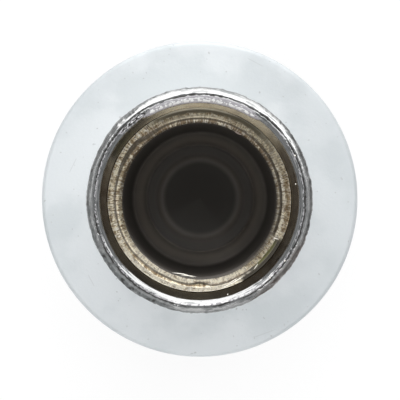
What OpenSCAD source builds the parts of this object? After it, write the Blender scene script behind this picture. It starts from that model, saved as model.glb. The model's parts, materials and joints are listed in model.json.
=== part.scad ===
// Closed-end shank lug nut with a captive washer.
// The nut stands on its crown: +Z runs up the thread axis, out of the shank's mouth,
// and the origin is the centre of the flat crown face. All lengths are in millimetres.

/* [Overall] */
// Length from the crown face to the shank's mouth
overall_length = 44; // [38:1:60]
// Width of the hexagon across its flats
hex_across_flats = 22; // [19:0.5:28]
// How much turning takes off each corner of the hexagon
corner_trim = 0.15; // [0.05:0.05:0.5]

/* [Crown] */
// Diameter of the flat face that closes the nut
crown_face_d = 15; // [10:0.5:16]
// Slope of the crown's cone, in degrees from the flat face
crown_slope = 34; // [20:1:50]
// Radius that blends the flat face into the cone
crown_blend = 2.5; // [0.5:0.25:4]
// Solid metal between the crown face and the bottom of the bore
crown_thickness = 11.5; // [8:0.5:12]

/* [Shank] */
// Diameter of the shank that pilots in the wheel
shank_d = 17.5; // [16.5:0.25:21]
// Length from the hexagon's seat face to the shank's mouth
shank_length = 16; // [12:0.5:20]
// Fillet between the shank and the seat face
root_fillet = 0.3; // [0.1:0.05:0.4]
// Rounding of both edges of the shank's mouth
mouth_round = 0.48; // [0.1:0.02:0.6]

/* [Thread] */
// Nominal diameter of the stud thread
thread_d = 14; // [10:0.5:14.5]
// Pitch of the stud thread
thread_pitch = 1.5; // [1:0.25:2]
// Depth of full thread below the mouth
thread_depth = 22.5; // [16:0.5:23.5]
// Radial clearance of the countersink over the thread's nominal radius
entry_clearance = 0.2; // [0.1:0.05:0.3]
// Slope of the countersink that eases the first turn of thread, in degrees from the axis
countersink_slope = 27; // [20:1:60]
// Radial run of the smooth lead-in above the countersink
lead_in_run = 0.62; // [0.2:0.02:0.8]
// Slope of the lead-in, in degrees from the axis
lead_in_slope = 41; // [15:1:45]

/* [Pilot hole] */
// Radial draft of the forged pilot hole between the thread and its floor
pilot_draft = 0.6; // [0.2:0.05:1]
// Rounding between the pilot hole's wall and its floor
floor_round = 0.35; // [0.1:0.05:0.5]
// Radius of the round punch mark in the bore's floor
floor_mark_r = 4.5; // [3:0.1:4.5]
// Depth of the punch mark, with its edge at 45 degrees
floor_mark_depth = 0.4; // [0.2:0.05:0.8]

/* [Captive washer] */
// Outside diameter of the captive washer
washer_d = 28; // [25:0.5:36]
// Thickness of the captive washer
washer_t = 2.5; // [2:0.1:4]
// Radial clearance between the washer and the shank
washer_clearance = 0.25; // [0.15:0.05:0.35]
// Chamfer of the washer's bore at both faces
washer_bore_chamfer = 0.5; // [0.45:0.05:0.7]
// Rounding of the washer's outer edges
washer_edge_round = 0.4; // [0.1:0.05:0.8]
// Gap under the washer as it lies on the seat face
washer_seat_gap = 0.05; // [0.02:0.01:0.1]

/* [Retaining bead] */
// How far the rolled bead reaches out past the washer's bore
bead_overlap = 0.25; // [0.15:0.05:0.35]
// Length of the rolled bead along the shank
bead_length = 1.4; // [1:0.1:2]
// Height of the bead's middle above the washer's upper face
bead_offset = 0.4; // [0.3:0.05:0.8]

/* [Hidden] */
$fn = 96;

seat_step = 0.2;    // the seat face ends this far inside the flats
seat_land = 0.5;    // least width of seat face that carries the washer, outside its bore
seat_slope = 30;    // slope of the chamfer between the seat face and the corners
arc_steps = 6;      // straight pieces in a rounded edge
overrun = 1;        // how far joined or cut shapes run past each other

flat_r = hex_across_flats / 2;
corner_r = flat_r / cos(30);
envelope_r = corner_r - corner_trim;
shank_r = shank_d / 2;
root_r = min(root_fillet, flat_r - shank_r);

major_r = thread_d / 2;
minor_r = major_r - 5 / 8 * thread_pitch * cos(30);
countersink_r = major_r + entry_clearance;
lead_in_r = countersink_r + lead_in_run;
rim_wall = shank_r - lead_in_r;
rim_round = min(mouth_round, rim_wall / (1 + cos(lead_in_slope)));

lead_in_z = overall_length - rim_round * (1 - sin(lead_in_slope));
countersink_z = lead_in_z - lead_in_run / tan(lead_in_slope);
thread_top_z = countersink_z - (countersink_r - minor_r) / tan(countersink_slope);
thread_end_z = overall_length - thread_depth;
floor_z = crown_thickness;
pilot_r = minor_r - pilot_draft;

washer_bore_r = shank_r + washer_clearance;
washer_face_r = washer_bore_r + washer_bore_chamfer;
seat_r = max(flat_r - seat_step, washer_face_r + seat_land);
seat_z = overall_length - shank_length;
washer_bottom_z = seat_z + washer_seat_gap;
washer_top_z = washer_bottom_z + washer_t;

bead_z = washer_top_z + bead_offset;
bead_rise = washer_clearance + bead_overlap;
bead_curve_r = (pow(bead_length / 2, 2) + pow(bead_rise, 2)) / (2 * bead_rise);
bead_half_angle = asin(bead_length / 2 / bead_curve_r);

// Points along an arc about [x, y], from one angle to another
function arc(x, y, r, from, to) =
    [for (i = [0:arc_steps])
        let (a = from + (to - from) * i / arc_steps)
        [x + r * cos(a), y + r * sin(a)]];

// Outline of the turned envelope that trims the hexagon: crown below, seat face above
module head_outline() {
    cone_z = crown_blend * (1 - cos(crown_slope));
    cone_r = crown_face_d / 2 + crown_blend * sin(crown_slope);
    polygon(concat(
        [[0, 0]],
        arc(crown_face_d / 2, crown_blend, crown_blend, -90, crown_slope - 90),
        [[envelope_r, cone_z + (envelope_r - cone_r) * tan(crown_slope)],
         [envelope_r, seat_z - (envelope_r - seat_r) * tan(seat_slope)],
         [seat_r, seat_z],
         [0, seat_z]]));
}

// Outline of the shank, with its root fillet, retaining bead and rounded mouth
module shank_outline() {
    polygon(concat(
        [[0, seat_z - overrun],
         [shank_r + root_r, seat_z - overrun]],
        arc(shank_r + root_r, seat_z + root_r, root_r, 270, 180),
        arc(shank_r + bead_rise - bead_curve_r, bead_z, bead_curve_r,
            -bead_half_angle, bead_half_angle),
        arc(shank_r - rim_round, overall_length - rim_round, rim_round, 0, 90),
        [[0, overall_length]]));
}

// Outline of all that is hollow: lead-in, countersink, thread core, pilot hole and punch mark
module bore_outline() {
    rim_x = lead_in_r + rim_round * cos(lead_in_slope);
    polygon(concat(
        [[0, overall_length + overrun],
         [rim_x, overall_length + overrun]],
        arc(rim_x, overall_length - rim_round, rim_round, 90, 180 - lead_in_slope),
        [[countersink_r, countersink_z],
         [minor_r, thread_top_z],
         [minor_r, thread_end_z]],
        arc(pilot_r - floor_round, floor_z + floor_round, floor_round, 0, -90),
        [[floor_mark_r, floor_z],
         [floor_mark_r - floor_mark_depth, floor_z - floor_mark_depth],
         [0, floor_z - floor_mark_depth]]));
}

module nut_body() {
    color("silver")
    difference() {
        union() {
            intersection() {
                linear_extrude(height = seat_z)
                    circle(r = corner_r, $fn = 6);
                rotate_extrude()
                    head_outline();
            }
            rotate_extrude()
                shank_outline();
        }
        rotate_extrude()
            bore_outline();
    }
}

module captive_washer() {
    edge_x = washer_d / 2 - washer_edge_round;
    color("lightsteelblue")
    rotate_extrude()
        polygon(concat(
            [[washer_bore_r, washer_top_z - washer_bore_chamfer],
             [washer_bore_r, washer_bottom_z + washer_bore_chamfer],
             [washer_face_r, washer_bottom_z]],
            arc(edge_x, washer_bottom_z + washer_edge_round, washer_edge_round, -90, 0),
            arc(edge_x, washer_top_z - washer_edge_round, washer_edge_round, 0, 90),
            [[washer_face_r, washer_top_z]]));
}

nut_body();
captive_washer();
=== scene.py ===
import json
import math
from functools import lru_cache

import bmesh
import bpy
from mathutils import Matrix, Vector, noise


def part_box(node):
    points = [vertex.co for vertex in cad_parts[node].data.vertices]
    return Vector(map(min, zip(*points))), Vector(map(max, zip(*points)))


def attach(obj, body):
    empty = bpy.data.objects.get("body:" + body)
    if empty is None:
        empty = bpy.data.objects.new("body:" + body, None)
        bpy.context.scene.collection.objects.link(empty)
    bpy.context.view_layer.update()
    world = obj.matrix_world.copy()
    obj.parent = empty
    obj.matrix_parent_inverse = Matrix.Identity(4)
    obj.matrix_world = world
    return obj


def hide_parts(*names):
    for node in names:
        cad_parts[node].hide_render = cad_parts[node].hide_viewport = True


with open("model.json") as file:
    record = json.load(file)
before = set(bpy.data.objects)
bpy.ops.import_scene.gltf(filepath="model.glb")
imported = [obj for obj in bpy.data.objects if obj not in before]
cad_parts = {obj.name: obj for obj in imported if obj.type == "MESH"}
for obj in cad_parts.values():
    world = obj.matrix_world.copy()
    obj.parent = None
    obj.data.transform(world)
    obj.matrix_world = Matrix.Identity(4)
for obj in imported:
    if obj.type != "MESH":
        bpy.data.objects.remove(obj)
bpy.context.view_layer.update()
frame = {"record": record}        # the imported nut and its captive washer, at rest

mm = 0.001


# A socket that takes part in plain expressions: each operator adds one Math node
class Wire:
    def __init__(self, bench, socket):
        self.bench, self.socket = bench, socket

    def maths(self, operation, first, second=0.0):
        return self.bench.node("ShaderNodeMath", {0: first, 1: second}, {"operation": operation})

    def __add__(self, other): return self.maths("ADD", self, other)
    def __radd__(self, other): return self.maths("ADD", other, self)
    def __sub__(self, other): return self.maths("SUBTRACT", self, other)
    def __rsub__(self, other): return self.maths("SUBTRACT", other, self)
    def __mul__(self, other): return self.maths("MULTIPLY", self, other)
    def __rmul__(self, other): return self.maths("MULTIPLY", other, self)
    def __truediv__(self, other): return self.maths("DIVIDE", self, other)
    def __rtruediv__(self, other): return self.maths("DIVIDE", other, self)
    def __pow__(self, power): return self.maths("POWER", self, power)
    def __abs__(self): return self.maths("ABSOLUTE", self)
    def least(self, other): return self.maths("MINIMUM", self, other)
    def most(self, other): return self.maths("MAXIMUM", self, other)
    def cosine(self): return self.maths("COSINE", self)
    def sine(self): return self.maths("SINE", self)
    def fraction(self): return self.maths("FRACT", self)
    def roundedUp(self): return self.maths("CEIL", self)
    def clamped(self): return self.most(0.0).least(1.0)
    def part(self, name): return Wire(self.bench, self.socket.node.outputs[name])


# A node tree with one way to add a node: its type, its sockets, then its settings
class Bench:
    def __init__(self, tree, look=None):
        self.tree, self.look = tree, look

    def node(self, kind, sockets=None, settings=None, out=0):
        made = self.tree.nodes.new(kind)
        for name, value in (settings or {}).items():
            setattr(made, name, value)
        for key, value in (sockets or {}).items():
            if isinstance(value, Wire):
                self.tree.links.new(value.socket, made.inputs[key])
            else:
                made.inputs[key].default_value = value
        return Wire(self, made.outputs[out])

    # 0 below low, 1 above high, smooth between them
    def rise(self, value, low, high):
        return self.node("ShaderNodeMapRange", {"Value": value, "From Min": low, "From Max": high},
                         {"interpolation_type": "SMOOTHSTEP"})

    def fall(self, value, low, high):
        return 1.0 - self.rise(value, low, high)

    # 1 inside a span with soft ends
    def span(self, value, low, high, soft):
        return self.rise(value, low - soft, low + soft) * self.fall(value, high - soft, high + soft)

    # Two shades mixed, each a socket or the name of one of the look's colours
    def tint(self, share, first, second):
        first, second = (shade if isinstance(shade, Wire) else (*self.look[shade], 1.0)
                         for shade in (first, second))
        return self.node("ShaderNodeMix", {0: share, 6: first, 7: second}, {"data_type": "RGBA"}, out=2)

    # A shade under others, each of which covers what lies below it as far as its share says
    def covered(self, shade, covers):
        for share, cover in covers:
            shade = self.tint(share, shade, cover)
        return shade

    def noise(self, place, scale, detail, roughness):
        return self.node("ShaderNodeTexNoise",
                         {"Vector": place, "Scale": scale, "Detail": detail, "Roughness": roughness})

    def bump(self, height):
        return self.node("ShaderNodeBump", {"Height": height, "Strength": 1.0, "Distance": 1.0})


def placed(name, data):
    made = bpy.data.objects.new(name, data)
    bpy.context.scene.collection.objects.link(made)
    return made


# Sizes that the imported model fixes, in metres
mounts = {m["name"]: m for m in frame["record"]["mounts"]}
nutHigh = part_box("nut_body")[1]
washerLow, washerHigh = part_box("captive_washer")
stud, pilot = mounts["stud_thread"], mounts["pilot_shank"]
mouthZ = nutHigh.z
flatRadius = nutHigh.y
cornerRadius = nutHigh.x
shankRadius = pilot["dims"]["r_mm"] * mm
threadMinor = stud["dims"]["r_mm"] * mm
threadBottom = stud["pos_m"][2] - stud["dims"]["length_mm"] * mm / 2


# The nut's other sizes, apart from its thread
nutSizes = {
    "columns": 384,             # points round the nut below the rim
    "rimColumns": 768,          # points round the rim, where the metal is ragged
    "crownFace": 7.5 * mm,      # radius of the flat crown face
    "crownBlend": 2.5 * mm,
    "crownSlope": math.radians(34),
    "edgeRound": 0.28 * mm,     # reach of the rounding along each head edge
    "seatRound": 0.15 * mm,     # the same on the seat face, towards the shank
    "cornerBlend": 0.16 * mm,   # how softly flats run into the turned corners
    "seatGap": 0.05 * mm,       # the washer lies this far above the seat face
    "seatRadius": 10.8 * mm,
    "seatSlope": math.radians(30),
    "rootFillet": 0.3 * mm,
    "beadReach": 0.5 * mm,      # how far the rolled bead stands out of the shank
    "beadLength": 1.4 * mm,
    "beadRise": 0.4 * mm,       # bead's middle above the washer's upper face
    "mouthRound": 0.48 * mm,
    "leadInRadius": 7.82 * mm,
    "leadInSlope": math.radians(41),
    "countersink": 7.2 * mm,
    "pilotRadius": 5.588 * mm,  # forged hole under the thread, where it meets its floor
    "floorZ": 11.5 * mm,
    "floorRound": 0.35 * mm,
    "markRadius": 4.5 * mm,     # punch mark in the floor
    "markDepth": 0.4 * mm,
    "markFlat": 2.4 * mm,       # radius of the mark's flat middle
}


def headRadius(angle):
    fromFlat = angle % (math.pi / 3) - math.pi / 6
    flat = flatRadius / math.cos(fromFlat)
    soft = nutSizes["cornerBlend"]
    overlap = max(soft - abs(flat - cornerRadius), 0) / soft
    return min(flat, cornerRadius) - overlap * overlap * soft / 4


def arcPoints(centreR, centreZ, radius, start, end, steps):
    return [(centreR + radius * math.cos(a), centreZ + radius * math.sin(a))
            for a in (math.radians(start + (end - start) * i / steps) for i in range(steps + 1))]


def straightPoints(first, last, steps):
    return [tuple(a + (b - a) * i / steps for a, b in zip(first, last)) for i in range(steps + 1)]


# Three-point curve that rounds the corner between two straights
def easedCorner(before, corner, after, steps=4):
    points = []
    for i in range(steps + 1):
        t = i / steps
        points.append(tuple((1 - t) ** 2 * a + 2 * t * (1 - t) * b + t * t * c
                            for a, b, c in zip(before, corner, after)))
    return points


def towards(start, end, reach):
    length = math.dist(start, end)
    return tuple(a + (b - a) * reach / length for a, b in zip(start, end))


# Head profile at one angle, from the crown face out and up to the shank's root
@lru_cache(maxsize=None)
def headProfile(angle):
    s = nutSizes
    outer = headRadius(angle)
    coneR = s["crownFace"] + s["crownBlend"] * math.sin(s["crownSlope"])
    coneZ = s["crownBlend"] * (1 - math.cos(s["crownSlope"]))
    seatZ = washerLow.z - s["seatGap"]
    cone = (coneR, coneZ)
    lowEdge = (outer, coneZ + (outer - coneR) * math.tan(s["crownSlope"]))
    highEdge = (outer, seatZ - (outer - s["seatRadius"]) * math.tan(s["seatSlope"]))
    seatEdge = (s["seatRadius"], seatZ)
    root = (shankRadius + s["rootFillet"], seatZ)
    reach = s["edgeRound"]
    shortReach = min(reach, math.dist(highEdge, seatEdge) * 0.45)
    lowStart, lowEnd = towards(lowEdge, cone, reach), towards(lowEdge, highEdge, reach)
    highStart, highEnd = towards(highEdge, lowEdge, shortReach), towards(highEdge, seatEdge, shortReach)
    seatStart, seatEnd = towards(seatEdge, highEdge, shortReach), towards(seatEdge, root, s["seatRound"])
    profile = [(s["crownFace"] * share, 0.0) for share in (0.35, 0.7, 0.93)]
    profile += arcPoints(s["crownFace"], s["crownBlend"], s["crownBlend"],
                         -90, math.degrees(s["crownSlope"]) - 90, 6)
    profile += straightPoints(cone, lowStart, 3)[1:-1]
    profile += easedCorner(lowStart, lowEdge, lowEnd)
    profile += straightPoints(lowEnd, highStart, 2)[1:-1]
    profile += easedCorner(highStart, highEdge, highEnd, 3)
    profile += easedCorner(seatStart, seatEdge, seatEnd, 2)
    profile += straightPoints(seatEnd, root, 2)[1:-1]
    profile += arcPoints(root[0], seatZ + s["rootFillet"], s["rootFillet"], 270, 180, 4)
    return profile


# Shank from its root to just under the rim, with the rolled bead that holds the washer
def shankProfile():
    s = nutSizes
    half = s["beadLength"] / 2
    curve = (half * half + s["beadReach"] ** 2) / (2 * s["beadReach"])
    beadZ = washerHigh.z + s["beadRise"]
    spread = math.degrees(math.asin(half / curve))
    profile = arcPoints(shankRadius + s["beadReach"] - curve, beadZ, curve, -spread, spread, 8)
    profile += [(shankRadius, beadZ + half + z * mm) for z in (0.6, 2, 4, 6, 8, 9.4)]
    return profile


# Rim and lead-in, over the mouth and down to the countersink
def rimProfile():
    s = nutSizes
    roundR = s["mouthRound"]
    slope = s["leadInSlope"]
    innerX = s["leadInRadius"] + roundR * math.cos(slope)
    leadInZ = mouthZ - roundR * (1 - math.sin(slope))
    coneTop = leadInZ - (s["leadInRadius"] - s["countersink"]) / math.tan(slope)
    profile = [(shankRadius, mouthZ - z * mm) for z in (1.9, 1.4, 1.0, 0.7)]
    profile += arcPoints(shankRadius - roundR, mouthZ - roundR, roundR, 0, 90, 13)
    profile += arcPoints(innerX, mouthZ - roundR, roundR, 90, 180 - math.degrees(slope), 9)
    profile += straightPoints((s["leadInRadius"], leadInZ), (s["countersink"], coneTop), 5)[1:]
    return profile


# Pilot hole under the thread, its rounded foot and the punch mark in its floor
def boreEndProfile():
    s = nutSizes
    fillet, depth = s["floorRound"], s["markDepth"]
    profile = straightPoints((threadMinor, threadBottom), (s["pilotRadius"], s["floorZ"] + fillet), 8)
    profile += arcPoints(s["pilotRadius"] - fillet, s["floorZ"] + fillet, fillet, 0, -90, 5)[1:]
    for share in (0, 0.2, 0.4, 0.6, 0.8, 1):
        sink = depth * share * share * (3 - 2 * share)
        profile.append((s["markRadius"] + depth * (0.4 - 1.8 * share), s["floorZ"] - sink))
    profile.append((s["markFlat"], s["floorZ"] - depth))
    return profile


rimWear = {
    "swell": 0.125 * mm,        # the hammered edge stands this far outside the shank
    "crease": 0.050 * mm,       # depth of the ragged crease that runs round the crest
    "torn": 0.016 * mm,         # roughness of the torn plating beside it
    "ripple": 0.010 * mm,       # slow waves round the rim
    "line": 0.0035 * mm,        # fine lines that run round it
    "flatDepth": 0.10 * mm,     # how far the hammered stretch is knocked in
    "fadeDown": 1.7 * mm,       # the wear fades out this far down the shank
    "fadeIn": 0.17 * mm,        # and this far into the lead-in
    "seed": 11,
}

# Stretches round the rim: from, to and how softly they end, in degrees; a stretch may pass 0
rimStretches = {
    "lowCrease": (250, 306, 14), "highCrease": (55, 125, 16), "faintCrease": (60, 120, 12),
    "boldCrease": (80, 97, 7), "tornCorner": (121, 139, 4), "tornTop": (56, 121, 8),
    "noSideLip": (48, 128, 10), "tornNear": (248, 318, 10), "shadedRimRight": (302, 394, 14),
    "shadedRimLeft": (150, 250, 14), "hammered": (206, 253, 6), "hammeredFlat": (206, 253, 8),
    "lowRight": (302, 338, 7), "lessSwell": (147, 175, 10),
}


def limited(value):
    return min(max(value, 0), 1)


# 1 on a stretch of the rim, 0 off it
def onStretch(name, angle):
    start, end, soft = rimStretches[name]
    middle, half = (start + end) / 2, (end - start) / 2
    away = abs((math.degrees(angle) - middle + 180) % 360 - 180)
    return limited((half - away) / soft + 0.5)


def hump(value, middle, half):
    return math.exp(-((value - middle) / half) ** 2)


# Noise that is drawn out round the axis: so many features to a radian, so many across the rim
def drawnNoise(angle, across, around, seed):
    return noise.noise(Vector((math.cos(angle) * around + 0.37, math.sin(angle) * around + 0.71,
                               across + (rimWear["seed"] + seed))))


# Marks at an angle and a share of the way over the rim: painted shade in the crease, torn plating, dull metal
def rimMarks(angle, share):
    low, top = onStretch("lowCrease", angle), onStretch("highCrease", angle)
    path = (0.53 + 0.04 * top - 0.08 * low + 0.07 * drawnNoise(angle, 0, 4, 0)
            + 0.05 * drawnNoise(angle, 0, 15, 1) + 0.035 * drawnNoise(angle, 0, 48, 2))
    sides = limited(0.35 + 1.1 * abs(math.cos(angle)))
    presence = limited(0.66 - 0.30 * onStretch("faintCrease", angle) + 0.45 * onStretch("boldCrease", angle)
                       + 1.2 * drawnNoise(angle, 0, 6, 3) + 0.45 * sides)
    blobs = limited(0.5 + 2.2 * drawnNoise(angle, share * 12, 34, 5)
                    + 0.8 * drawnNoise(angle, share * 18, 80, 8))
    corner = onStretch("tornCorner", angle) * hump(share, 0.82, 0.16)
    # the crease is dented into the metal and painted dark along it, as painted shade
    crease = hump(share, path, 0.068 + 0.05 * drawnNoise(angle, 0, 30, 4)) * presence
    crease = max(crease, corner * limited(1.4 - 1.6 * blobs))

    topLip = (onStretch("tornTop", angle) * limited((share - path - 0.03) / 0.05)
              * limited((1.19 - share) / 0.06))
    sideLip = (1 - onStretch("noSideLip", angle)) * hump(share, path + 0.13, 0.07) * 0.36 * (1 - low)
    nearLip = onStretch("tornNear", angle) * hump(share, 0.63, 0.05) * limited(0.4 + 1.2 * blobs)
    topShare = 0.24 + 0.76 * limited(0.9 * blobs - 0.28 + (share - 0.86) * 4.0)
    torn = topLip * topShare + sideLip * blobs + corner * limited(blobs * 3 - 2.3) + nearLip

    wearAndShade = limited(0.5 + 1.6 * drawnNoise(angle, share * 5, 9, 6))
    # the outer edge is dull and dark: partly wear, partly painted shade, wider on the left and right
    outline = limited(0.80 + 0.20 * (onStretch("shadedRimRight", angle) + onStretch("shadedRimLeft", angle)))
    edge = limited(1.15 * hump(share, 0.02, 0.21 * outline ** 3) * outline)
    flat = onStretch("hammered", angle) * limited((path + 0.05 - share) / 0.06)
    lowRight = onStretch("lowRight", angle) * limited((path - 0.10 - share) / 0.08)
    dull = max(edge * (0.75 + 0.25 * wearAndShade), flat, lowRight * (0.7 + 0.3 * wearAndShade))
    return limited(crease), limited(torn), limited(dull)


# How deep the rim's metal is knocked in there
def rimDent(angle, share):
    w = rimWear
    crease, torn, dull = rimMarks(angle, share)
    ripple = drawnNoise(angle, share * 1.6, 7, 10) + 0.6 * drawnNoise(angle, share * 2.2, 17, 11)
    line = drawnNoise(angle, share * 13, 3.5, 12) + 0.5 * drawnNoise(angle, share * 20, 11, 13)
    rough = drawnNoise(angle, share * 16, 60, 14) + drawnNoise(angle, share * 9, 30, 15)
    swell = w["swell"] * (1 - 0.40 * onStretch("lessSwell", angle))
    edge = hump(share, 0.0, 0.17) * swell * (1 + 0.6 * drawnNoise(angle, 0, 8, 16)
                                             + 0.3 * drawnNoise(angle, 0, 34, 17))
    flat = onStretch("hammeredFlat", angle) * hump(share, 0.27, 0.20)
    return (w["crease"] * crease + w["torn"] * (torn * rough + torn * 0.4) + w["torn"] * 0.55 * dull * rough
            + w["ripple"] * ripple + w["line"] * line + w["flatDepth"] * flat - edge)


# Rings of points round the Z axis, joined into one skin in the order they are added
class Skin:
    def __init__(self):
        self.points, self.marks, self.faces, self.ring = [], [], [], None

    def addPoint(self, place, mark=(0, 0, 0)):
        self.points.append(place)
        self.marks.append(mark)
        return len(self.points) - 1

    # Adds a ring and joins it to the last one; a ring may have twice or half the points of its neighbour
    def addRing(self, columns, placeAt, markAt=lambda angle: (0, 0, 0)):
        angles = [2 * math.pi * i / columns for i in range(columns)]
        last, ring = self.ring, [self.addPoint(placeAt(angle), markAt(angle)) for angle in angles]
        self.ring = ring
        if last is None:
            return
        if len(last) == 1:
            self.faces += [(last[0], ring[(i + 1) % columns], ring[i]) for i in range(columns)]
        elif len(last) == columns:
            for i in range(columns):
                j = (i + 1) % columns
                self.faces.append((last[i], last[j], ring[j], ring[i]))
        elif len(last) * 2 == columns:
            for i in range(len(last)):
                j = (i + 1) % len(last)
                a, b, c = ring[2 * i], ring[2 * i + 1], ring[(2 * i + 2) % columns]
                self.faces += [(last[i], b, a), (last[i], last[j], b), (last[j], c, b)]
        else:
            for i in range(columns):
                j = (i + 1) % columns
                a, b, c = last[2 * i], last[2 * i + 1], last[(2 * i + 2) % len(last)]
                self.faces += [(a, b, ring[i]), (b, ring[j], ring[i]), (b, c, ring[j])]

    def startAt(self, z):
        self.ring = [self.addPoint((0, 0, z))]

    def closeAt(self, z):
        tip, count = self.addPoint((0, 0, z)), len(self.ring)
        self.faces += [(self.ring[i], self.ring[(i + 1) % count], tip) for i in range(count)]


def turned(radius, height):
    return lambda angle: (radius * math.cos(angle), radius * math.sin(angle), height)


# A rim ring: share is 0 at the outside of the mouth's rounding and 1 at the inside
def wornRim(radius, height, normal, share, fade):
    def place(angle):
        depth = rimDent(angle, share) * fade
        return turned(radius - normal[0] * depth, min(height - normal[1] * depth, mouthZ))(angle)
    return place


def profileNormals(profile):
    normals = []
    for i in range(len(profile)):
        before, after = profile[max(i - 1, 0)], profile[min(i + 1, len(profile) - 1)]
        dr, dz = after[0] - before[0], after[1] - before[1]
        length = math.hypot(dr, dz)
        normals.append((dz / length, -dr / length))
    return normals


print("turning the nut's outside, rim and bore floor")
outside = Skin()
outside.startAt(0.0)
for step in range(len(headProfile(0.0))):
    outside.addRing(nutSizes["columns"], lambda angle: turned(*headProfile(angle)[step])(angle))
for radius, height in shankProfile():
    outside.addRing(nutSizes["columns"], turned(radius, height))
rim = rimProfile()
for (radius, height), normal in list(zip(rim, profileNormals(rim)))[:-1]:
    crossing = (shankRadius - radius) / (shankRadius - nutSizes["leadInRadius"])
    below = max(mouthZ - nutSizes["mouthRound"] - height, 0) / rimWear["fadeDown"]
    beyond = max(nutSizes["leadInRadius"] - radius, 0) / rimWear["fadeIn"]
    fade = limited(1 - below) * limited(1 - beyond)
    markFade = limited(1 - 2.2 * below) * limited(1.8 * (1 - beyond))
    outside.addRing(nutSizes["rimColumns"], wornRim(radius, height, normal, crossing, fade),
                    lambda angle: tuple(mark * markFade for mark in rimMarks(angle, crossing)))
countersinkR, countersinkZ = rim[-1]
outside.addRing(nutSizes["columns"], turned(countersinkR, countersinkZ))

floor = Skin()
for radius, height in boreEndProfile():
    floor.addRing(nutSizes["columns"], turned(radius, height))
floor.closeAt(nutSizes["floorZ"] - nutSizes["markDepth"])


def skinMesh(name, skin):
    mesh = bpy.data.meshes.new(name)
    mesh.from_pydata(skin.points, [], skin.faces)
    marks = mesh.attributes.new("rimMarks", "FLOAT_VECTOR", "POINT")
    marks.data.foreach_set("vector", [value for mark in skin.marks for value in mark])
    return mesh


threadSizes = {
    "pitch": 1.5 * mm,
    "major": 7.0 * mm,
    "startAngle": 335,          # where the first turn leaves the countersink, in degrees
    "countersinkSlope": math.radians(27),
    "fineTurns": 1,             # whole turns under the first ridge that are cut finely
    "fineRows": 20,             # rows of points to a turn near the mouth
    "deepRows": 6,
    "chatter": 0.05 * mm,       # tool marks on the first turns
    "chatterReach": 3.2 * mm,   # they end this far under the countersink's top
    "chatterFade": 1.6 * mm,    # and fade out over this length
    "smoothTop": 0.18 * mm,     # the countersink's top edge has none
    "seed": 4,
}

# The root of the thread first touches the countersink at the start angle
rootMeetsCone = countersinkZ - ((countersinkR - threadSizes["major"])
                                / math.tan(threadSizes["countersinkSlope"]))
ridgeHeight = rootMeetsCone - threadSizes["pitch"] * (threadSizes["startAngle"] / 360 + 0.5)


# One screw tree makes the whole threaded wall between two flat rings, from its named inputs
def threadTree(inputs, material):
    tree = bpy.data.node_groups.new("threadedWall", "GeometryNodeTree")
    bench = Bench(tree)
    sockets = {}
    for name, value in inputs.items():
        kind = "NodeSocketInt" if isinstance(value, int) else "NodeSocketFloat"
        sockets[name] = tree.interface.new_socket(name=name, in_out="INPUT", socket_type=kind)
    tree.interface.new_socket(name="Wall", in_out="OUTPUT", socket_type="NodeSocketGeometry")
    entry = tree.nodes.new("NodeGroupInput")
    given = lambda name: Wire(bench, entry.outputs[name])
    pitch, minor, major = given("Pitch"), given("Minor radius"), given("Major radius")

    def band(top, bottom, rowsPerTurn):
        rows = (((top - bottom) / pitch + 1.0) * rowsPerTurn + 2.0).roundedUp()
        grid = bench.node("GeometryNodeMeshGrid", {"Size X": 1.0, "Size Y": 1.0,
                                                   "Vertices X": given("Columns") + 1.0, "Vertices Y": rows})
        spot = bench.node("ShaderNodeSeparateXYZ", {0: bench.node("GeometryNodeInputPosition")})
        around = spot.part("X") + 0.5
        row = (0.5 - spot.part("Y")) * (rows - 1.0)
        height = (top - pitch * (row / rowsPerTurn - around)).least(top).most(bottom)
        angle = around * (2 * math.pi)
        cosine, sine = angle.cosine(), angle.sine()
        # place across the ridge: 0 and 1 at the crest, 0.5 at the root; each flank is 5/16 of the pitch
        across = ((height - given("Ridge height")) / pitch - around).fraction()
        fromRoot = abs(across - 0.5)
        cut = ((6 / 16 - fromRoot) / (5 / 16)).clamped()
        runOut = ((height - given("Bottom")) / pitch).clamped()
        # chatter and torn metal, strongest on the first turns
        nearMouth = ((height - given("Top") + given("Chatter reach")) / given("Chatter fade")).clamped()
        ringTop = ((given("Top") - height) / given("Smooth top")).clamped()
        spotOnWall = bench.node("ShaderNodeCombineXYZ",
                                {0: cosine * 6.4, 1: sine * 6.4, 2: height / mm * 0.8 + given("Seed")})
        torn = bench.noise(spotOnWall, 2.4, 3.0, 0.62) - 0.5
        wallRadius = minor + (major - minor) * cut * runOut
        cone = given("Countersink radius") - (given("Top") - height) * given("Countersink run")
        radius = wallRadius.most(cone) + torn * given("Chatter") * 2.0 * nearMouth * ringTop
        place = bench.node("ShaderNodeCombineXYZ", {0: cosine * radius, 1: sine * radius, 2: height})
        return bench.node("GeometryNodeSetPosition", {"Geometry": grid, "Position": place})

    fine = band(given("Top"), given("Change"), given("Fine rows"))
    deep = band(given("Change"), given("Bottom"), given("Deep rows"))
    joined = tree.nodes.new("GeometryNodeJoinGeometry")
    for wall in (fine, deep):
        tree.links.new(wall.socket, joined.inputs[0])
    welded = bench.node("GeometryNodeMergeByDistance",
                        {"Geometry": Wire(bench, joined.outputs[0]), "Distance": 0.0008 * mm})
    real = bench.node("GeometryNodeRealizeInstances", {"Geometry": welded})
    finished = bench.node("GeometryNodeSetMaterial", {"Geometry": real, "Material": material})
    leave = tree.nodes.new("NodeGroupOutput")
    tree.links.new(finished.socket, leave.inputs[0])
    return tree, {name: socket.identifier for name, socket in sockets.items()}


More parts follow.
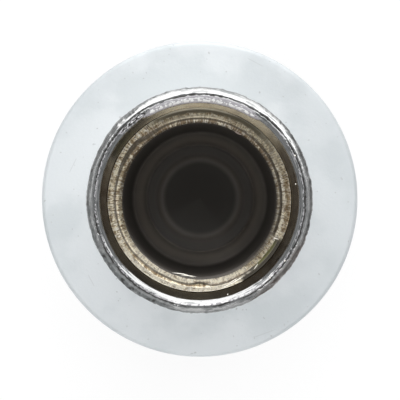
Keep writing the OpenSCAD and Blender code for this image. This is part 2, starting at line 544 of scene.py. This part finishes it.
def threadedWall(material):
    t = threadSizes
    inputs = {"Columns": nutSizes["columns"], "Fine rows": t["fineRows"], "Deep rows": t["deepRows"],
              "Pitch": t["pitch"], "Minor radius": threadMinor, "Major radius": t["major"],
              "Ridge height": ridgeHeight, "Top": countersinkZ, "Bottom": threadBottom,
              "Change": ridgeHeight - t["fineTurns"] * t["pitch"], "Countersink radius": countersinkR,
              "Countersink run": math.tan(t["countersinkSlope"]), "Chatter": t["chatter"],
              "Chatter reach": t["chatterReach"], "Chatter fade": t["chatterFade"],
              "Smooth top": t["smoothTop"], "Seed": float(t["seed"])}
    tree, identifiers = threadTree(inputs, material)
    carrier = placed("threadCarrier", bpy.data.meshes.new("threadCarrier"))
    modifier = carrier.modifiers.new("thread", "NODES")
    modifier.node_group = tree
    for name, value in inputs.items():
        modifier[identifiers[name]] = value
    depsgraph = bpy.context.evaluated_depsgraph_get()
    mesh = bpy.data.meshes.new_from_object(carrier.evaluated_get(depsgraph))
    bpy.data.objects.remove(carrier)
    return mesh


# Joins skins edge to edge into one closed piece and reports what is still open
def weldedPiece(name, meshes, material, weld=0.002 * mm, sharp=math.radians(32)):
    joined = bmesh.new()
    for mesh in meshes:
        joined.from_mesh(mesh)
        bpy.data.meshes.remove(mesh)
    bmesh.ops.remove_doubles(joined, verts=joined.verts, dist=weld)
    bmesh.ops.recalc_face_normals(joined, faces=joined.faces)
    openEdges = sum(1 for e in joined.edges if not e.is_manifold)
    whole = bpy.data.meshes.new(name)
    joined.to_mesh(whole)
    joined.free()
    whole.materials.clear()
    whole.materials.append(material)
    whole.shade_smooth()
    whole.set_sharp_from_angle(angle=sharp)
    piece = placed(name, whole)
    triangles = sum(len(p.vertices) - 2 for p in whole.polygons)
    print(f"  {name}: {triangles} triangles, {openEdges} open edges")
    return piece


# Slivers and specks that the tap and the hammer left, each from one place to another: degrees, radius and
# height under the mouth in mm, with its width and how far its middle curls in
burrs = [
    {"start": (249, 6.25, 2.95), "end": (266, 6.22, 2.85), "width": 0.085, "curl": 0.14},
    {"start": (256, 6.26, 2.80), "end": (268, 6.16, 2.70), "width": 0.055, "curl": 0.08},
    {"start": (57, 6.22, 2.90), "end": (63, 6.18, 2.80), "width": 0.095, "curl": 0.03, "dull": 0.9},
    {"start": (284, 7.14, 0.92), "end": (300, 6.95, 1.20), "width": 0.070, "curl": 0.02},
    {"start": (289, 6.98, 1.10), "end": (296, 6.86, 1.42), "width": 0.060, "curl": 0.01},
    {"start": (308, 6.98, 1.24), "end": (313, 6.84, 1.44), "width": 0.045, "curl": 0.02},
    {"start": (332.6, 6.56, 2.02), "end": (333.8, 7.00, 1.18), "width": 0.085, "curl": 0.02},
    {"start": (9.2, 7.66, 0.30), "end": (9.9, 7.62, 0.34), "width": 0.090},
    {"start": (24.6, 8.24, 0.00), "end": (25.6, 8.22, 0.00), "width": 0.100},
    {"start": (286.4, 7.70, 0.24), "end": (287.2, 7.67, 0.28), "width": 0.080},
    {"start": (311.8, 8.19, 0.00), "end": (312.8, 8.17, 0.00), "width": 0.110},
    {"start": (324.2, 8.18, 0.00), "end": (325.2, 8.16, 0.00), "width": 0.100},
]


# One tapered sliver with a four-sided section, closed at both tips
def burrSkin(burr, skin):
    steps, section = 10, ((1, 0.0), (0, 0.45), (-1, 0.0), (0, -0.45))
    start, end, mark = burr["start"], burr["end"], (1, 1, burr.get("dull", 0))
    base = len(skin.points)
    for step in range(1, steps):
        share = step / steps
        turn, radius, under = (a + (b - a) * share for a, b in zip(start, end))
        thick = burr["width"] / 2 * math.sin(math.pi * share) ** 0.6
        radius -= burr.get("curl", 0) * math.sin(math.pi * share)
        angle = math.radians(turn)
        along = Vector((math.radians(end[0] - start[0]) * radius, end[1] - start[1], 0)).normalized()
        for side, lift in section:
            aside, outwards = -along.y * side * thick, along.x * side * thick
            skin.addPoint(tuple(mm * value for value in (
                (radius + outwards) * math.cos(angle) - aside * math.sin(angle),
                (radius + outwards) * math.sin(angle) + aside * math.cos(angle),
                mouthZ / mm - max(under - lift * thick, 0))), mark)
    for (turn, radius, under), ring in ((start, base), (end, base + 4 * (steps - 2))):
        tip = skin.addPoint(turned(radius * mm, mouthZ - under * mm)(math.radians(turn)), mark)
        skin.faces += [(ring + i, ring + (i + 1) % 4, tip) for i in range(4)]
    for row in range(steps - 2):
        for i in range(4):
            a, b = base + 4 * row + i, base + 4 * row + (i + 1) % 4
            skin.faces.append((a, b, b + 4, a + 4))


def newMaterial(name, look=None):
    material = bpy.data.materials.new(name)
    material.use_nodes = True
    material.node_tree.nodes.clear()
    return material, Bench(material.node_tree, look)


def finishShader(bench, surface, kind="Material"):
    leave = bench.tree.nodes.new(f"ShaderNodeOutput{kind}")
    bench.tree.links.new(surface.socket, leave.inputs["Surface"])


plateLook = {
    "chrome": (0.55, 0.55, 0.545), "dirtAndShade": (0.045, 0.042, 0.038), "dullMetal": (0.19, 0.20, 0.20),
    "brownMetal": (0.12, 0.10, 0.09), "tornPlateAndSheen": (1.0, 1.0, 0.99), "lilacPlate": (0.44, 0.42, 0.445),
    "leadIn": (0.115, 0.108, 0.105), "khaki": (0.55, 0.53, 0.475), "leadFoot": (0.40, 0.35, 0.27),
    "shadedUnscraped": (0.21, 0.19, 0.155), "olive": (0.21, 0.185, 0.13), "shadedTurn": (0.24, 0.19, 0.125),
    "cutNickel": (0.98, 0.83, 0.55), "dullNickel": (0.53, 0.42, 0.26), "brownNickel": (0.23, 0.16, 0.09),
    "glint": (1.0, 0.97, 0.88), "goldGlint": (1.0, 0.92, 0.72), "copper": (0.50, 0.33, 0.17),
    "greenTint": (0.36, 0.36, 0.12), "grooveShadow": (0.085, 0.07, 0.052), "flake": (0.26, 0.19, 0.16),
    "thread": (0.10, 0.09, 0.08), "threadShade": (0.035, 0.031, 0.027), "pilotWall": (0.66, 0.61, 0.55),
    "wallFoot": (0.50, 0.465, 0.42), "boreFloor": (0.105, 0.097, 0.088), "floorEdge": (0.155, 0.143, 0.13),
    "markEdge": (0.30, 0.275, 0.25),
}

# Stretches of the plating round the nut: middle, half the width and how softly they end, in degrees; most of
# them place painted light and painted shade
plateSides = {
    "near": (257, 46, 14), "far": (95, 78, 14), "right": (2, 22, 10), "mouthNear": (282, 30, 12),
    "lineLeft": (200, 67, 5), "lineNear": (247, 26, 8), "lineMiddle": (267, 13, 7), "lineStart": (297, 19, 9),
    "wideLine": (138, 16, 8), "shadedUnscraped": (316, 18, 2), "green": (321, 9, 4), "brownRim": (321, 22, 4),
    "paintedLightLeadInTop": (80, 37, 17), "paintedLightLeadInTopLeft": (122, 40, 16), "paintedLightLeadInNear": (268, 24, 12),
    "paintedLightFoot": (91, 17, 12), "paintedShadeRim": (16, 30, 12), "unshadedCrest": (270, 12, 10), "shadedCrest": (0, 22, 14),
    "leftEdge": (165, 46, 14), "paintedHighlightRight": (356, 26, 10), "rightEdge": (357, 14, 7),
    "paintedShadeTopLeft": (128, 24, 12), "paintedShadeTopRight": (46, 18, 12), "shadedTop": (81, 39, 12),
    "paintedLightBandTop": (92, 18, 10), "paintedLightBandLeft": (178, 20, 12), "paintedLightBandTopRight": (44, 18, 12),
}

# Rings of the plating: from, to and how softly they end, in mm from the axis
plateRings = {
    "paintedHighlightRight": (6.60, 6.82, 0.05), "wearAndShade": (6.74, 6.86, 0.03), "paintedLightBandTop": (6.58, 6.80, 0.05),
    "paintedLightBandLeft": (6.86, 7.02, 0.05), "green": (6.76, 6.94, 0.06), "crest": (7.90, 8.22, 0.08),
    "shoulder": (8.36, 8.52, 0.06),
}

# Edges of the plating, over which something begins or ends, in mm from the axis
plateEdges = {
    "floorEdge": (4.3, 4.9), "innerEdge": (6.20, 6.44), "paintedShadeTopRight": (6.40, 6.60),
    "paintedLightBandTopRight": (6.62, 6.70), "shadedLow": (6.72, 6.80), "paintedShadeTopLeft": (6.80, 6.95),
    "rightEdge": (6.84, 6.92), "shadedTop": (6.84, 6.98), "brightEdge": (6.86, 6.92),
    "leftEdge": (6.97, 7.10), "paintedLightFoot": (7.08, 7.16), "entry": (7.18, 7.22), "foot": (7.22, 7.38),
    "mouth": (7.70, 7.86),
}


# Where each spot of the nut lies, and the noise, marks, wear, painted shade and painted highlights on it
class PlateSpot:
    def __init__(self, bench):
        self.bench = bench
        place = bench.node("ShaderNodeTexCoord", out="Object")
        split = bench.node("ShaderNodeSeparateXYZ", {0: place})
        x, y, self.z = split.part("X"), split.part("Y"), split.part("Z")
        self.radius = (x * x + y * y) ** 0.5
        self.east, self.north = x / self.radius, y / self.radius
        marks = bench.node("ShaderNodeSeparateXYZ", {0: bench.node(
            "ShaderNodeAttribute", None, {"attribute_name": "rimMarks"}, out="Vector")})
        self.crease, self.torn, self.dull = marks.part("X"), marks.part("Y"), marks.part("Z")
        self.blotch = bench.noise(place, 900.0, 4.0, 0.6)
        self.fine = bench.noise(place, 5200.0, 3.0, 0.6)
        self.fleck = bench.noise(place, 2400.0, 3.0, 0.65)
        self.haze = bench.noise(place, 260.0, 3.0, 0.55)
        self.wave = bench.noise(place, 210.0, 1.0, 0.4)
        self.streaks = self.drawn(6.0, 8.0, 6.0, 3.0, 3.0)
        self.rays = self.drawn(48.0, 0.9, 0.7, 3.0, 9.0)
        self.broadRays = self.drawn(11.0, 2.2, 1.6, 2.0, 17.0)
        self.strokes = self.drawn(64.0, 1.2, 0.9, 2.0, 31.0)
        self.ragged = (self.broadRays - 0.5) * 0.30 * mm + (self.rays - 0.5) * 0.16 * mm
        self.findZones()
        self.findWear()

    # 1 on a stretch round the axis
    def side(self, name):
        middle, half, soft = (math.radians(angle) for angle in plateSides[name])
        facing = self.east * math.cos(middle) + self.north * math.sin(middle)
        return self.bench.rise(facing, math.cos(half + soft), math.cos(max(half - soft, 0)))

    # 1 on a ring; a radius other than the plain one makes its outline ragged
    def ring(self, name, radius=None):
        low, high, soft = (size * mm for size in plateRings[name])
        return self.bench.span(radius or self.radius, low, high, soft)

    # 1 outside an edge, and 1 inside it
    def beyond(self, name, radius=None):
        low, high = (size * mm for size in plateEdges[name])
        return self.bench.rise(radius or self.radius, low, high)

    def within(self, name, radius=None):
        return 1.0 - self.beyond(name, radius)

    # Noise drawn out round the axis, or into rays where around is large
    def drawn(self, around, outwards, upwards, detail, seed):
        across = self.radius / mm * outwards + self.z / mm * upwards + seed
        spot = {0: self.east * around, 1: self.north * around, 2: across}
        return self.bench.noise(self.bench.node("ShaderNodeCombineXYZ", spot), 1.0, detail, 0.6)

    # Lead-in, first turns, thread, pilot hole and floor
    def findZones(self):
        bench, radius, z = self.bench, self.radius, self.z
        floorZ, markRadius = nutSizes["floorZ"], nutSizes["markRadius"]
        mouthEdge = radius - self.side("mouthNear") * (0.03 * mm)
        self.inBore = self.within("mouth", mouthEdge) * bench.rise(z, 3.0 * mm, 4.0 * mm)
        self.rimZone = bench.rise(z, 42.6 * mm, 43.3 * mm) * (1.0 - self.inBore)
        self.entry = self.inBore * self.within("entry", radius + self.ragged * 0.15)
        self.foot = self.inBore * self.within("foot") * (1.0 - self.entry)
        # painted light at the top of the lead-in's foot
        self.paintedLightFoot = self.foot * self.side("paintedLightFoot")
        self.deep = self.entry * bench.fall(z, countersinkZ - 2.6 * mm, countersinkZ - 1.9 * mm)
        self.pilotZone = self.inBore * bench.fall(z, threadBottom - 5.5 * mm, threadBottom + 6.5 * mm)
        self.wallFoot = self.pilotZone * bench.fall(z, floorZ + 0.3 * mm, floorZ + 4.2 * mm)
        self.floorZone = self.pilotZone * bench.fall(z, floorZ, floorZ + 0.2 * mm)
        self.markZone = self.floorZone * bench.span(radius, markRadius - 0.70 * mm, markRadius, 0.40 * mm)

    # Wear on the rim and on the scraped lands of the first turns, and the painted shade and painted
    # highlights on them
    def findWear(self):
        bench, radius, ragged = self.bench, self.radius, self.ragged
        self.near, self.far = self.side("near"), self.side("far")
        self.lines = self.rimZone * bench.rise(self.streaks, 0.52, 0.60)
        self.tornZone = bench.rise(self.torn, 0.13, 0.24)
        # painted shade along the rim's crease
        self.creaseShade = bench.rise(self.crease + (self.fine - 0.5) * 0.5, 0.25, 0.70)
        # the dark line under the first turn's edge is painted shadow; it steps out as it nears its start
        line = (6.53 * mm + self.side("lineLeft") * (0.20 * mm) - self.side("lineNear") * (0.06 * mm)
                + self.side("lineStart") * (0.34 * mm) + self.side("lineMiddle") * (0.07 * mm))
        fromLine = abs(radius + ragged * 0.15 - line) - self.side("wideLine") * (0.08 * mm)
        shadedUnscraped = self.side("shadedUnscraped")
        self.grooveShadow = self.entry * bench.fall(fromLine, 0.045 * mm, 0.120 * mm) * (1.0 - shadedUnscraped)
        self.inner = self.entry * bench.fall(radius, line - 0.02 * mm, line + 0.02 * mm)
        # a smooth, unscraped stretch at the first turn's start, painted dark as shade
        self.shadedLow = shadedUnscraped * self.beyond("shadedLow", radius + ragged * 0.6)
        self.scraped = self.entry * (1.0 - self.shadedLow)
        # painted highlight along the ring's outer edge on the near side
        self.brightEdge = self.near * self.beyond("brightEdge", radius + ragged * 0.4)
        self.leftEdge = (self.side("leftEdge") * bench.rise(radius, line - 0.02 * mm, line + 0.06 * mm)
                         * (1.0 - self.beyond("leftEdge") * 0.75))
        # painted highlight in a band on the right
        self.paintedHighlightRight = self.side("paintedHighlightRight") * self.ring("paintedHighlightRight", radius + ragged * 0.3)


# Lead-in and rim: chrome with fine lines, painted shade in its crease, torn and dull metal
def rimShade(spot):
    bench, side, fleck = spot.bench, spot.side, spot.fleck
    # the lead-in is painted dark as shade, with painted light in khaki mostly on its top; its foot is
    # lighter, with painted light in gold at the top
    pale = side("paintedLightLeadInTop") * 0.86 + side("paintedLightLeadInTopLeft") * 0.14 + side("paintedLightLeadInNear") * 0.10
    leadIn = bench.covered("leadIn", (
        (pale, "khaki"),
        (spot.foot * 0.50, "leadFoot"),
        (spot.paintedLightFoot * 0.70, "goldGlint"),
    ))
    # dull metal: brown at the lower right, dark and bright flecks, and painted shade on a stretch at the
    # right
    dull = bench.covered("dullMetal", (
        (side("brownRim"), "brownMetal"),
        (side("paintedShadeRim") * 0.55, "dirtAndShade"),
        (bench.rise(fleck, 0.54, 0.62) * 0.8, "dirtAndShade"),
        (bench.rise(1.0 - fleck, 0.56, 0.62) * 0.35, "chrome"),
    ))
    torn = bench.tint(bench.rise(spot.torn, 0.38, 0.62), "lilacPlate", "tornPlateAndSheen")
    # the rim's crest is painted darker as shade, most on the right and not at the bottom; its outer shoulder
    # is painted lighter as a highlight
    crest, shoulder = spot.rimZone * spot.ring("crest"), spot.rimZone * spot.ring("shoulder")
    return bench.covered("chrome", (
        (spot.lines * 0.75, "dullMetal"),
        (spot.inBore, leadIn),
        (spot.dull, dull),
        (spot.tornZone, torn),
        (crest * (0.20 - side("unshadedCrest") * 0.20 + side("shadedCrest") * 0.20), "dullMetal"),
        (shoulder * 0.18, "tornPlateAndSheen"),
        (spot.creaseShade * 0.92, "dirtAndShade"),
    ))


# The scraped lands of the first turns: bright scratches, brown strokes, painted light bands and painted shade
# on some stretches
def scrapedShade(spot):
    bench, side, ring, beyond, within = spot.bench, spot.side, spot.ring, spot.beyond, spot.within
    fleck, near, inner = spot.fleck, spot.near, spot.inner
    wavy, jagged = spot.radius + spot.ragged * 0.3, spot.radius + spot.ragged * 0.4
    scratchy = spot.rays * 0.68 + spot.broadRays * 0.32
    brassy = bench.tint(bench.rise(spot.broadRays + (spot.blotch - 0.5) * 0.3, 0.46, 0.60),
                        "brownNickel", "dullNickel")
    # the inner edge is painted dark as shade, most on the far side and the right, least on the near side
    innerEdge = inner * within("innerEdge", wavy - spot.far * (0.05 * mm))
    innerDark = (0.85 - near * 0.75) * (0.5 + spot.far.most(side("right")) * 0.5)
    # painted highlights: the inner band and outer edge on the near side, and a band on the right
    bright = near * inner * 0.50 + spot.brightEdge * 0.62 + spot.paintedHighlightRight * 0.50
    rightEdge = side("rightEdge") * beyond("rightEdge", jagged)
    stroked = (1.0 - near * 0.75) * 0.54 + spot.leftEdge * 0.34
    # a band painted darker as shade on the near side
    wearAndShade = near * ring("wearAndShade", jagged)
    # painted light bands on the top, the left and the top right
    paintedLightBands = (side("paintedLightBandTop") * ring("paintedLightBandTop", wavy) * 0.45
                 + side("paintedLightBandLeft") * ring("paintedLightBandLeft", wavy) * 0.26
                 + side("paintedLightBandTopRight") * beyond("paintedLightBandTopRight") * 0.28)
    return bench.covered(brassy, (
        (bench.rise(scratchy, 0.43, 0.50), "cutNickel"),
        (bench.rise(scratchy, 0.53, 0.58), "goldGlint"),
        (inner * spot.far * 0.66, "shadedTurn"),
        (innerEdge * innerDark, "thread"),
        (bright.clamped(), "glint"),
        (rightEdge * 0.60, "copper"),
        (stroked * bench.rise(spot.strokes, 0.48, 0.54), "brownNickel"),
        (stroked * bench.rise(1.0 - spot.strokes, 0.52, 0.58), "glint"),
        # painted shade on the top left and the top right
        (side("paintedShadeTopLeft") * within("paintedShadeTopLeft") * 0.52, "brownNickel"),
        (side("paintedShadeTopRight") * within("paintedShadeTopRight") * 0.45, "brownNickel"),
        (wearAndShade * 0.75, "brownNickel"),
        (bench.rise(fleck, 0.56, 0.62) * 0.85, "goldGlint"),
        (bench.rise(1.0 - fleck, 0.55, 0.62) * (0.70 - spot.leftEdge * 0.45), "brownNickel"),
        (paintedLightBands, "goldGlint"),
        (side("shadedTop") * beyond("shadedTop", spot.radius + spot.ragged), "olive"),
        # painted light at the top, next to the lead-in's foot
        (side("paintedLightFoot") * beyond("paintedLightFoot") * 0.50, "goldGlint"),
        (spot.shadedLow, "shadedUnscraped"),
        (side("green") * ring("green") * 0.55, "greenTint"),
    ))


def platedSteel():
    material, bench = newMaterial("platedSteel", plateLook)
    spot = PlateSpot(bench)
    dull, deep, fine, scraped = spot.dull, spot.deep, spot.fine, spot.scraped
    # painted shade deep in the bore: the thread and the floor are painted dark, the thread darker still on
    # its near side, and the pilot wall darker towards the floor; the floor is less dark outside the punch
    # mark
    nearThreadShade = spot.near * bench.fall(spot.z, threadBottom + 14 * mm, threadBottom + 17.5 * mm)
    floorShade = bench.tint(spot.beyond("floorEdge"), "boreFloor", "floorEdge")
    burr = bench.rise(spot.crease.least(spot.torn), 0.80, 0.95)
    colour = bench.covered(rimShade(spot), (
        (spot.entry, scrapedShade(spot)),
        # painted shadow under the first turn's edge
        (spot.grooveShadow * (0.72 + spot.broadRays * 0.3), "grooveShadow"),
        (deep, bench.tint(nearThreadShade * 0.65, "thread", "threadShade")),
        (spot.pilotZone, "pilotWall"),
        (spot.wallFoot, "wallFoot"),
        (spot.floorZone, floorShade),
        (spot.markZone, "markEdge"),
        (burr, bench.tint(dull, "glint", "flake")),
    ))

    # outside the bore and the rim there is only a faint haze and the slow waves of polished plating
    outer = (1.0 - spot.inBore) * (1.0 - spot.rimZone)
    rough = 0.11 + spot.lines * 0.12 + dull * 0.30
    rough = rough + spot.tornZone * (0.42 - rough) + spot.creaseShade * 0.2
    rough = rough + scraped * (0.40 - rough) + spot.paintedLightFoot * 0.26
    rough = rough + deep * (0.50 - rough)
    rough = rough + outer * (spot.haze - 0.45) * 0.16
    oxide = (0.40 + spot.near * spot.inner * 0.34 + spot.brightEdge * 0.18 + spot.paintedHighlightRight * 0.26
             + spot.leftEdge * 0.38)
    metal = (1.0 - scraped * oxide - spot.pilotZone * 0.18 - spot.entry * spot.shadedLow * 0.35
             - spot.tornZone * 0.65 - dull * 0.25)
    relief = (spot.wave * outer * 0.030 + (spot.rays * 0.100 + spot.blotch * 0.035) * scraped * (1.0 - deep)
              + fine * dull * 0.030 + fine * spot.torn * 0.040 + spot.streaks * spot.rimZone * 0.004
              + spot.blotch * dull * 0.05 + fine * deep * 0.008)
    finishShader(bench, bench.node("ShaderNodeBsdfPrincipled", {
        "Base Color": colour, "Roughness": rough, "Metallic": metal, "Normal": bench.bump(relief * mm)}))
    return material


zincLook = {
    "pale": (0.82, 0.85, 0.865), "paleShadedEdge": (0.68, 0.71, 0.725), "cloud": (0.73, 0.77, 0.785),
    "cloudShadedEdge": (0.61, 0.645, 0.66), "speck": (0.42, 0.43, 0.43), "dim": (0.46, 0.49, 0.505),
    "roughness": 0.52, "metallic": 0.30,
    # faint scratches: where, which way in degrees, and half their length, in mm
    "scratches": ((4.9, 12.1, -28, 0.9), (5.7, -11.9, 20, 1.2), (-11.2, 3.0, 64, 0.8),
                  (-9.6, -7.2, 118, 0.7)),
}


def zincSteel():
    look = zincLook
    material, bench = newMaterial("zincSteel", look)
    place = bench.node("ShaderNodeTexCoord", out="Object")
    split = bench.node("ShaderNodeSeparateXYZ", {0: place})
    x, y = split.part("X"), split.part("Y")
    clouds = bench.rise(bench.noise(place, 160.0, 4.0, 0.55), 0.42, 0.62)
    specks = bench.rise(bench.noise(place, 2600.0, 1.0, 0.4), 0.74, 0.80)
    grain = bench.noise(place, 3800.0, 3.0, 0.6)
    # the washer is painted darker towards its outer edge and on its left and right sides, as painted shade
    outwards = bench.rise((x * x + y * y) ** 0.5, 9.0 * mm, 14.0 * mm)
    paintedSideShade = bench.rise(x, 0, 12 * mm) * 0.40 + bench.rise(x * -1.0, 0, 12 * mm) * 0.22
    scratches = 0.0
    for atX, atY, heading, half in look["scratches"]:
        dx, dy = x - atX * mm, y - atY * mm
        cosine, sine = math.cos(math.radians(heading)), math.sin(math.radians(heading))
        across, along = dy * cosine - dx * sine, dx * cosine + dy * sine
        line = bench.fall(abs(across), 0.015 * mm, 0.050 * mm)
        scratches = line * bench.fall(abs(along), half * 0.6 * mm, half * mm) + scratches
    colour = bench.covered(bench.tint(outwards, "pale", "paleShadedEdge"), (
        (clouds, bench.tint(outwards, "cloud", "cloudShadedEdge")),
        (paintedSideShade, "dim"),
        ((specks * 0.6 + scratches * 0.35).clamped(), "speck"),
    ))
    rough = look["roughness"] + clouds * 0.08 - specks * 0.10
    finishShader(bench, bench.node("ShaderNodeBsdfPrincipled", {
        "Base Color": colour, "Roughness": rough, "Metallic": look["metallic"],
        "Normal": bench.bump(grain * (0.012 * mm))}))
    return material


print("cutting the thread")
plating = platedSteel()
slivers = Skin()
for burr in burrs:
    burrSkin(burr, slivers)
nut = weldedPiece("nut", [skinMesh("outside", outside), threadedWall(plating), skinMesh("boreFloor", floor),
                          skinMesh("burrs", slivers)], plating)
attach(nut, "nut")
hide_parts("nut_body")


washerSizes = {
    "columns": 360,
    "bore": shankRadius + 0.25 * mm,    # it runs on the shank with this clearance
    "boreChamfer": 0.5 * mm,
    "edgeRound": 0.4 * mm,
    "chamferSteps": 3,
}


# Washer section, from its bore's upper edge down, out and back
def washerProfile():
    s = washerSizes
    bore, outer, low, high = s["bore"], washerHigh.x, washerLow.z, washerHigh.z
    edge, face = outer - s["edgeRound"], bore + s["boreChamfer"]
    boreLow, boreHigh = (bore, low + s["boreChamfer"]), (bore, high - s["boreChamfer"])
    profile = straightPoints(boreHigh, boreLow, 2)
    profile += straightPoints(boreLow, (face, low), s["chamferSteps"])[1:]
    profile += straightPoints((face, low), (edge, low), 4)[1:-1]
    profile += arcPoints(edge, low + s["edgeRound"], s["edgeRound"], -90, 0, 7)
    profile += arcPoints(edge, high - s["edgeRound"], s["edgeRound"], 0, 90, 7)
    profile += straightPoints((edge, high), (face, high), 8)[1:]
    profile += straightPoints((face, high), boreHigh, s["chamferSteps"])[1:-1]
    return profile


print("punching the captive washer")
washerSkin = Skin()
for radius, height in washerProfile():
    washerSkin.addRing(washerSizes["columns"], turned(radius, height))
last, count = washerSkin.ring, washerSizes["columns"]
washerSkin.faces += [(last[i], last[(i + 1) % count], (i + 1) % count, i) for i in range(count)]
washer = weldedPiece("washer", [skinMesh("washerSkin", washerSkin)], zincSteel())
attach(washer, "washer")
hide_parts("captive_washer")


print("lighting the stage")
stageLook = {
    "floorReach": 1.5, "floorColour": (0.93, 0.93, 0.93), "floorGlow": 0.82,
    "worldColour": (0.98, 1.0, 1.02), "worldStrength": 0.32,
}


def layFloor():
    mesh = bpy.data.meshes.new("floor")
    reach = stageLook["floorReach"]
    corners = [(-reach, -reach, 0), (reach, -reach, 0), (reach, reach, 0), (-reach, reach, 0)]
    mesh.from_pydata(corners, [], [(0, 1, 2, 3)])
    material, bench = newMaterial("paleFloor")
    matt = bench.node("ShaderNodeBsdfDiffuse", {"Color": (*stageLook["floorColour"], 1)})
    glow = bench.node("ShaderNodeEmission", {"Color": (1, 1, 1, 1), "Strength": 1.0})
    path = bench.node("ShaderNodeLightPath")
    share = path.part("Is Camera Ray") * stageLook["floorGlow"]
    finishShader(bench, bench.node("ShaderNodeMixShader", {0: share, 1: matt, 2: glow}))
    mesh.materials.append(material)
    placed("floor", mesh)


def lightWorld():
    world = bpy.data.worlds.new("studio")
    bpy.context.scene.world = world
    world.use_nodes = True
    world.node_tree.nodes.clear()
    bench = Bench(world.node_tree)
    room = bench.node("ShaderNodeBackground",
                      {"Color": (*stageLook["worldColour"], 1), "Strength": stageLook["worldStrength"]})
    white = bench.node("ShaderNodeBackground", {"Color": (1, 1, 1, 1), "Strength": 1.0})
    path = bench.node("ShaderNodeLightPath")
    mixed = bench.node("ShaderNodeMixShader", {0: path.part("Is Camera Ray"), 1: room, 2: white})
    finishShader(bench, mixed, "World")


# Each lamp is given by its azimuth and elevation in degrees, how far from the mouth it hangs in metres, and
# the brightness of its face, so that metal shows it at that level
lamps = {
    "lowWindow": {"facing": (84, 17), "away": 0.38, "width": 0.66, "height": 0.26, "bright": 1.75},
    "highWindow": {"facing": (84, 56), "away": 0.42, "width": 0.46, "height": 0.32, "bright": 1.70},
    "bounce": {"facing": (272, 30), "away": 0.40, "width": 0.50, "height": 0.34, "bright": 0.50},
    "leftCard": {"facing": (180, 57), "away": 0.42, "width": 0.24, "height": 0.11, "bright": 0.42},
    "rightCard": {"facing": (2, 57), "away": 0.42, "width": 0.24, "height": 0.11, "bright": 0.34},
    "overhead": {"facing": (240, 82), "away": 0.34, "width": 0.34, "height": 0.34, "bright": 2.35,
                 "seenInMetal": False},
}


def aimed(thing, at, target):
    thing.location = at
    thing.rotation_mode = "QUATERNION"
    thing.rotation_quaternion = (Vector(target) - Vector(at)).to_track_quat("-Z", "Y")


def hangLamps():
    for name, lamp in lamps.items():
        light = bpy.data.lights.new(name, "AREA")
        light.shape = "RECTANGLE"
        light.size, light.size_y = lamp["width"], lamp["height"]
        light.energy = math.pi * lamp["width"] * lamp["height"] * lamp["bright"]
        made = placed(name, light)
        made.visible_glossy = lamp.get("seenInMetal", True)
        azimuth, elevation = (math.radians(angle) for angle in lamp["facing"])
        flatReach = lamp["away"] * math.cos(elevation)
        aimed(made, (flatReach * math.cos(azimuth), flatReach * math.sin(azimuth),
                     mouthZ + lamp["away"] * math.sin(elevation)), (0, 0, mouthZ))


cameraView = {
    "above": 100 * mm,                  # over the nut's mouth
    "aside": (0.25 * mm, 0.70 * mm),    # the eye is a little off the nut's axis
    "aimedAt": (0.055 * mm, 0.016 * mm),
    "lens": 115.47,
}


def placeCamera():
    view = cameraView
    camera = bpy.data.cameras.new("camera")
    camera.lens, camera.sensor_width = view["lens"], 36
    camera.clip_start, camera.clip_end = 0.005, 5
    made = placed("camera", camera)
    leanX, leanY = (aim - eye for aim, eye in zip(view["aimedAt"], view["aside"]))
    made.location = (*view["aside"], mouthZ + view["above"])
    made.rotation_euler = (math.atan2(leanY, view["above"]), -math.atan2(leanX, view["above"]), 0)
    bpy.context.scene.camera = made


layFloor()
lightWorld()
hangLamps()
placeCamera()
bpy.context.scene.view_settings.view_transform = "Standard"
